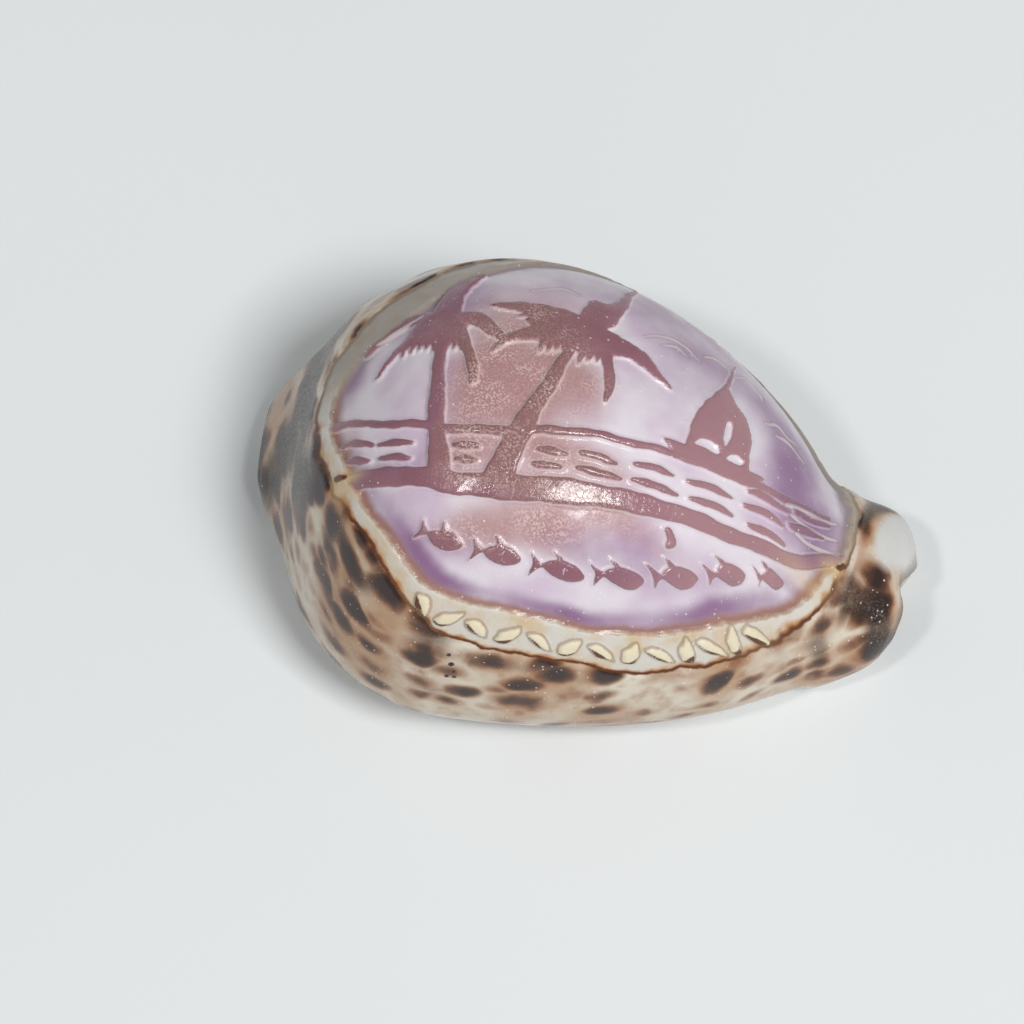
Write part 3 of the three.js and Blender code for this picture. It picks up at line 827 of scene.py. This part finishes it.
near_spots = sums(tree, "MINIMUM", spots(190.0, 0.12, 0.46), spots(128.0, -0.1, 0.36))
clouded = noise(tree, where, 70.0, 3.0)
glaze = tint(tree, rise(tree, clouded, 0.38, 0.66), GLAZE["ivory"], GLAZE["sand"])
glaze = tint(tree, sums(tree, "MULTIPLY", rise(tree, mottled, 0.45, 0.75), 0.5), glaze, GLAZE["fleck"])
glaze = tint(tree, sums(tree, "MULTIPLY", tan_mark, 0.85), glaze, GLAZE["tan"])
glaze = tint(tree, sums(tree, "MULTIPLY", rise(tree, near_spots, 0.32, 0.02), 0.8), glaze, GLAZE["halo"])
glaze = tint(tree, sums(tree, "MULTIPLY", rise(tree, near_spots, 0.17, -0.07), 0.85), glaze, GLAZE["brown"])
glaze = tint(tree, sums(tree, "MULTIPLY", rise(tree, near_spots, 0.08, -0.2), 0.9), glaze, GLAZE["umber"])
smoky = rise(tree, sums(tree, "MULTIPLY_ADD", clouded, 0.8, umber_mark), 0.75, 1.3)
glaze = tint(tree, sums(tree, "MULTIPLY", smoky, 0.85), glaze, GLAZE["cloud"])
dusty = sums(tree, "MULTIPLY", rise(tree, noise(tree, where, 3000.0, 3.0), 0.48, 0.66),
             rise(tree, sums(tree, "MULTIPLY_ADD", clouded, 0.6, umber_mark), 0.75, 1.35))
glaze = tint(tree, sums(tree, "MULTIPLY", dusty, 0.22), glaze, GLAZE["dust"])
glaze = tint(tree, rise(tree, pale_mark, 0.5, 0.85), glaze, GLAZE["tip"])
split = join(tree, "ShaderNodeSeparateXYZ", {0: where})
low_down = sums(tree, "MULTIPLY_ADD", noise(tree, where, 120.0), 0.006, split.outputs[2])
base_share = rise(tree, low_down, 0.01, 0.005)
glaze = tint(tree, base_share, glaze, GLAZE["base"])
front_share = rise(tree, split.outputs[0], 0.004, 0.02)
# Painted shade: the far side of the shell, away from the key light, where the carved layers are painted
# greyer.
far_share = rise(tree, split.outputs[1], -0.005, 0.005)

# The layers, from the rim of the cut inwards. On the far side, away from the key light, painted shade makes
# them greyer.
TERRACE = {"cream": (212, 206, 196), "buff": (206, 182, 148), "stain": (186, 128, 74),
           "leaf": (228, 217, 188), "leaf edge glaze and shade": (150, 122, 92), "far": (148, 136, 124),
           "rim": (92, 46, 18), "far rim": (140, 124, 106), "tan": (206, 176, 128), "chip_and_shade": (96, 50, 24),
           "inner rim": (150, 112, 92), "far inner rim": (146, 134, 126)}
GROUND = {"white": (220, 211, 219), "pearl": (204, 184, 202), "rose": (172, 130, 130),
          "lilac": (138, 99, 138), "hem": (154, 112, 104), "far hem": (150, 136, 142),
          "painted edge highlight": (228, 214, 212), "painted scratch shade": (120, 92, 100), "cloud": (216, 206, 204)}
MOTIF = {"mauve": (140, 94, 106), "worn": (156, 112, 122), "on rose": (142, 102, 100),
         "front": (164, 124, 130), "on lilac": (134, 92, 116)}
PIT = (38, 26, 22)
DUST = (240, 234, 230)
FROST = (228, 206, 200)

grain = noise(tree, where, 3200.0, 3.0)
ragged = sums(tree, "MULTIPLY_ADD", noise(tree, where, 900.0, 3.0), 0.5, -0.25)
calm = sums(tree, "MULTIPLY_ADD", noise(tree, where, 420.0, 2.0), 0.5, -0.25)
cut_mark = sums(tree, "MULTIPLY_ADD", ragged, 0.3, sums(tree, "ADD", mark(tree, "cut"), calm))
picture_mark = sums(tree, "ADD", mark(tree, "picture"), ragged)
motif_mark = sums(tree, "MULTIPLY_ADD", ragged, 0.35, mark(tree, "motif"))
rose_mark, lilac_mark = mark(tree, "rose"), mark(tree, "lilac")
terrace = tint(tree, rise(tree, noise(tree, where, 260.0, 3.0), 0.4, 0.72), TERRACE["cream"],
               TERRACE["buff"])
stain = sums(tree, "MULTIPLY_ADD", noise(tree, where, 340.0, 3.0), 2.0, cut_mark)
terrace = tint(tree, rise(tree, stain, 2.0, 1.2), terrace, TERRACE["stain"])
leaf_mark = sums(tree, "MULTIPLY_ADD", ragged, 0.6, mark(tree, "leaf"))
# A brown line round each leaf: partly brown glaze left on its edge, partly painted shade along its sides.
leaf_edge_glaze_and_shade = rise(tree, sums(tree, "ABSOLUTE", sums(tree, "ADD", leaf_mark, 0.15)), 0.26, 0.05)
terrace = tint(tree, rise(tree, leaf_mark, -0.1, 0.2), terrace, TERRACE["leaf"])
terrace = tint(tree, sums(tree, "MULTIPLY", leaf_edge_glaze_and_shade, 0.6), terrace, TERRACE["leaf edge glaze and shade"])
# The rim line and the terrace take a greyer painted shade on the far side.
rim_line = tint(tree, far_share, TERRACE["rim"], TERRACE["far rim"])
terrace = tint(tree, sums(tree, "MULTIPLY", far_share, 0.8), terrace, TERRACE["far"])
terrace = tint(tree, rise(tree, cut_mark, 0.55, 0.2), terrace, rim_line)
# Brown flakes of glaze left on the terrace. Those along the lower flank of each leaf are also painted
# shadow.
chip_and_shade_share = rise(tree, sums(tree, "MULTIPLY_ADD", ragged, 0.5, mark(tree, "chip_and_shade")), -0.1, 0.12)
ground = tint(tree, rise(tree, noise(tree, where, 90.0, 2.0), 0.4, 0.65), GROUND["white"], GROUND["pearl"])
uneven = sums(tree, "MULTIPLY_ADD", noise(tree, where, 200.0, 3.0), 0.4, -0.2)
ground = tint(tree, rise(tree, sums(tree, "ADD", rose_mark, uneven), 0.1, 0.95), ground, GROUND["rose"])
ground = tint(tree, rise(tree, sums(tree, "ADD", lilac_mark, uneven), 0.1, 1.05), ground, GROUND["lilac"])
# The hem is painted greyer on the far side, as shade.
hem_line = tint(tree, far_share, GROUND["hem"], GROUND["far hem"])
ground = tint(tree, rise(tree, picture_mark, 1.4, 0.2), ground, hem_line)
mauve = tint(tree, rise(tree, noise(tree, where, 130.0, 3.0), 0.35, 0.7), MOTIF["mauve"], MOTIF["worn"])
mauve = tint(tree, rise(tree, rose_mark, 0.1, 0.9), mauve, MOTIF["on rose"])
mauve = tint(tree, front_share, mauve, MOTIF["front"])
mauve = tint(tree, rise(tree, lilac_mark, 0.2, 1.0), mauve, MOTIF["on lilac"])
# A painted highlight: a pale line on the ground along the motif's cut edge, where that edge would catch the
# light.
painted_edge_highlight = rise(tree, sums(tree, "ABSOLUTE", sums(tree, "ADD", motif_mark, 0.2)), 0.18, 0.04)
ground = tint(tree, sums(tree, "MULTIPLY", painted_edge_highlight, 0.35), ground, GROUND["painted edge highlight"])
ground = tint(tree, rise(tree, motif_mark, -0.1, 0.08), ground, mauve)
# Each scratch gets a painted highlight along it, with painted shade just beside it.
ground = tint(tree, sums(tree, "MULTIPLY", rise(tree, mark(tree, "cloud"), -0.4, -0.1), 0.3), ground,
              GROUND["painted scratch shade"])
ground = tint(tree, sums(tree, "MULTIPLY", rise(tree, mark(tree, "cloud"), -0.15, 0.12), 0.7), ground,
              GROUND["cloud"])
layers = tint(tree, rise(tree, picture_mark, -0.1, 0.15), terrace, ground)
rim_share = rise(tree, sums(tree, "ABSOLUTE", picture_mark), 0.3, 0.08)
# The inner rim is painted greyer on the far side, as shade.
inner_rim = tint(tree, far_share, TERRACE["inner rim"], TERRACE["far inner rim"])
layers = tint(tree, sums(tree, "MULTIPLY", rim_share, 0.6), layers, inner_rim)
layers = tint(tree, sums(tree, "MULTIPLY", tan_mark, 0.85), layers, TERRACE["tan"])
layers = tint(tree, chip_and_shade_share, layers, TERRACE["chip_and_shade"])
cut_share = rise(tree, cut_mark, -0.05, 0.12)
body = tint(tree, cut_share, glaze, layers)
body = tint(tree, rise(tree, mark(tree, "pit"), -0.1, 0.12), body, PIT)

dust = join(tree, "ShaderNodeGroup", node_tree=settled_dust)
dust.inputs["Grain"].default_value = 1700.0
dust.inputs["Amount"].default_value = 0.3
body = tint(tree, sums(tree, "MULTIPLY", dust.outputs["Dust"], 0.6), body, DUST)
on_rose = sums(tree, "MULTIPLY", rise(tree, rose_mark, 0.25, 0.95), cut_share)
frost = sums(tree, "MULTIPLY", rise(tree, grain, 0.48, 0.58), on_rose)
frost = sums(tree, "MULTIPLY", frost, rise(tree, noise(tree, where, 260.0, 3.0), 0.4, 0.6, 0.25, 1.0))
body = tint(tree, sums(tree, "MULTIPLY", frost, 0.55), body, FROST)
tree.links.new(body, paint.inputs["Base Color"])

on_motif = sums(tree, "MULTIPLY", rise(tree, motif_mark, -0.05, 0.15), cut_share)
shine = rise(tree, noise(tree, where, 320.0, 2.0), 0.3, 0.7, 0.36, 0.56)
shine = sums(tree, "MULTIPLY_ADD", on_motif, -0.26, shine)
gloss = join(tree, "ShaderNodeMix", {0: cut_share, 2: 0.26, 3: shine}).outputs[0]
gloss = join(tree, "ShaderNodeMix", {0: dust.outputs["Dust"], 2: gloss, 3: 0.8}).outputs[0]
gloss = join(tree, "ShaderNodeMix", {0: dusty, 2: gloss, 3: 0.6}).outputs[0]
tree.links.new(gloss, paint.inputs["Roughness"])
height = sums(tree, "MULTIPLY", sums(tree, "MULTIPLY", cut_share, grain), 0.45)
height = sums(tree, "MULTIPLY_ADD", noise(tree, where, 420.0, 2.0), 0.5, height)
tool_marks = sums(tree, "MULTIPLY", noise(tree, where, 800.0, 2.0), on_motif)
height = sums(tree, "MULTIPLY_ADD", tool_marks, 1.5, height)
crazed = join(tree, "ShaderNodeTexVoronoi", {"Vector": where, "Scale": 1000.0},
              feature="DISTANCE_TO_EDGE").outputs[0]
crazed = sums(tree, "MULTIPLY", rise(tree, crazed, 0.1, 0.0), on_motif)
height = sums(tree, "MULTIPLY_ADD", crazed, -0.25, height)
height = sums(tree, "MULTIPLY_ADD", dust.outputs["Dust"], 0.4, height)
height = sums(tree, "MULTIPLY_ADD", sums(tree, "MULTIPLY", dust.outputs["Pits"], cut_share), -0.4, height)
bumps = join(tree, "ShaderNodeBump", {"Height": height, "Distance": 0.00012, "Strength": 0.5})
tree.links.new(bumps.outputs[0], paint.inputs["Normal"])
paint.inputs["Specular IOR Level"].default_value = 0.4
paint.inputs["Coat Roughness"].default_value = 0.1
coat = join(tree, "ShaderNodeMix", {0: cut_share, 2: 0.12, 3: 0.25}).outputs[0]
tree.links.new(coat, paint.inputs["Coat Weight"])

# The lining: the smooth inner face, lilac deep down and white towards the teeth.
LINING = {"white": (232, 224, 214), "lilac": (186, 164, 196), "dirt": (176, 160, 140)}

tree = lining.node_tree
paint = tree.nodes["Principled BSDF"]
where = join(tree, "ShaderNodeTexCoord").outputs["Object"]
lift = join(tree, "ShaderNodeSeparateXYZ", {0: where}).outputs[2]
deep = rise(tree, sums(tree, "MULTIPLY_ADD", noise(tree, where, 90.0), 0.012, lift), 0.008, 0.03)
body = tint(tree, deep, LINING["white"], LINING["lilac"])
dust = join(tree, "ShaderNodeGroup", node_tree=settled_dust)
dust.inputs["Grain"].default_value = 900.0
dust.inputs["Amount"].default_value = 0.3
body = tint(tree, sums(tree, "MULTIPLY", dust.outputs["Dust"], 0.5), body, LINING["dirt"])
tree.links.new(body, paint.inputs["Base Color"])
tree.links.new(rise(tree, noise(tree, where, 200.0), 0.3, 0.7, 0.22, 0.4), paint.inputs["Roughness"])
bumps = join(tree, "ShaderNodeBump", {"Height": noise(tree, where, 500.0, 3.0), "Distance": 0.0001,
                                      "Strength": 0.4})
tree.links.new(bumps.outputs[0], paint.inputs["Normal"])

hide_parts("cowrie_shell")
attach(shell, "root")


# ---- The table, the light and the camera ----
# The shell lies mouth down on a plain pale table, under a wide soft light from the right, a weaker one from
# the left and a pale surround. The camera looks down on it from the front, a little to one side.

TABLE_SIZE = 3.0
table_mesh = bpy.data.meshes.new("table_top")
corner = TABLE_SIZE / 2
table_mesh.from_pydata([(-corner, -corner, 0), (corner, -corner, 0), (corner, corner, 0),
                        (-corner, corner, 0)], [], [(0, 1, 2, 3)])
table = bpy.data.objects.new("table_top", table_mesh)
bpy.context.collection.objects.link(table)
pale_board = bpy.data.materials.new("pale_board")
pale_board.use_nodes = True
tree = pale_board.node_tree
paint = tree.nodes["Principled BSDF"]
where = join(tree, "ShaderNodeTexCoord").outputs["Object"]
board = tint(tree, noise(tree, where, 8.0), (222, 226, 227), (228, 231, 232))
tree.links.new(board, paint.inputs["Base Color"])
paint.inputs["Roughness"].default_value = 0.75
table_mesh.materials.append(pale_board)

surround = bpy.data.worlds.new("studio")
surround.use_nodes = True
surround.node_tree.nodes["Background"].inputs["Color"].default_value = (0.965, 0.985, 1.0, 1)
surround.node_tree.nodes["Background"].inputs["Strength"].default_value = 0.25
bpy.context.scene.world = surround
bpy.context.scene.view_settings.view_transform = "Standard"

TARGET = Vector((0.941, -1.203, 20)) * MM


def lamp(name, azimuth, elevation, distance, size, power):
    """A square soft light, aimed at the shell."""
    light = bpy.data.lights.new(name, "AREA")
    light.size = size
    light.energy = power
    holder = bpy.data.objects.new(name, light)
    a, e = math.radians(azimuth), math.radians(elevation)
    away = Vector((math.sin(a) * math.cos(e), -math.cos(a) * math.cos(e), math.sin(e)))
    holder.location = TARGET + away * distance
    holder.rotation_euler = away.to_track_quat("Z", "Y").to_euler()
    bpy.context.collection.objects.link(holder)


lamp("key_light", 58, 58, 2.2, 0.66, 35)
lamp("left_light", -38, 61, 2.2, 0.22, 8.5)

AZIMUTH, ELEVATION, DISTANCE = math.radians(13.5), math.radians(64), 700 * MM
back = Vector((math.sin(AZIMUTH) * math.cos(ELEVATION), -math.cos(AZIMUTH) * math.cos(ELEVATION),
               math.sin(ELEVATION)))
right = Vector((math.cos(AZIMUTH), math.sin(AZIMUTH), 0))
up = back.cross(right)
ASIDE, BELOW = 9.66 * MM, 1.22 * MM
lens = bpy.data.cameras.new("camera")
lens.sensor_width = 36
lens.lens = 180.9
camera = bpy.data.objects.new("camera", lens)
camera.location = TARGET - right * ASIDE - up * BELOW + back * DISTANCE
camera.rotation_euler = back.to_track_quat("Z", "Y").to_euler()
bpy.context.collection.objects.link(camera)
bpy.context.scene.camera = camera
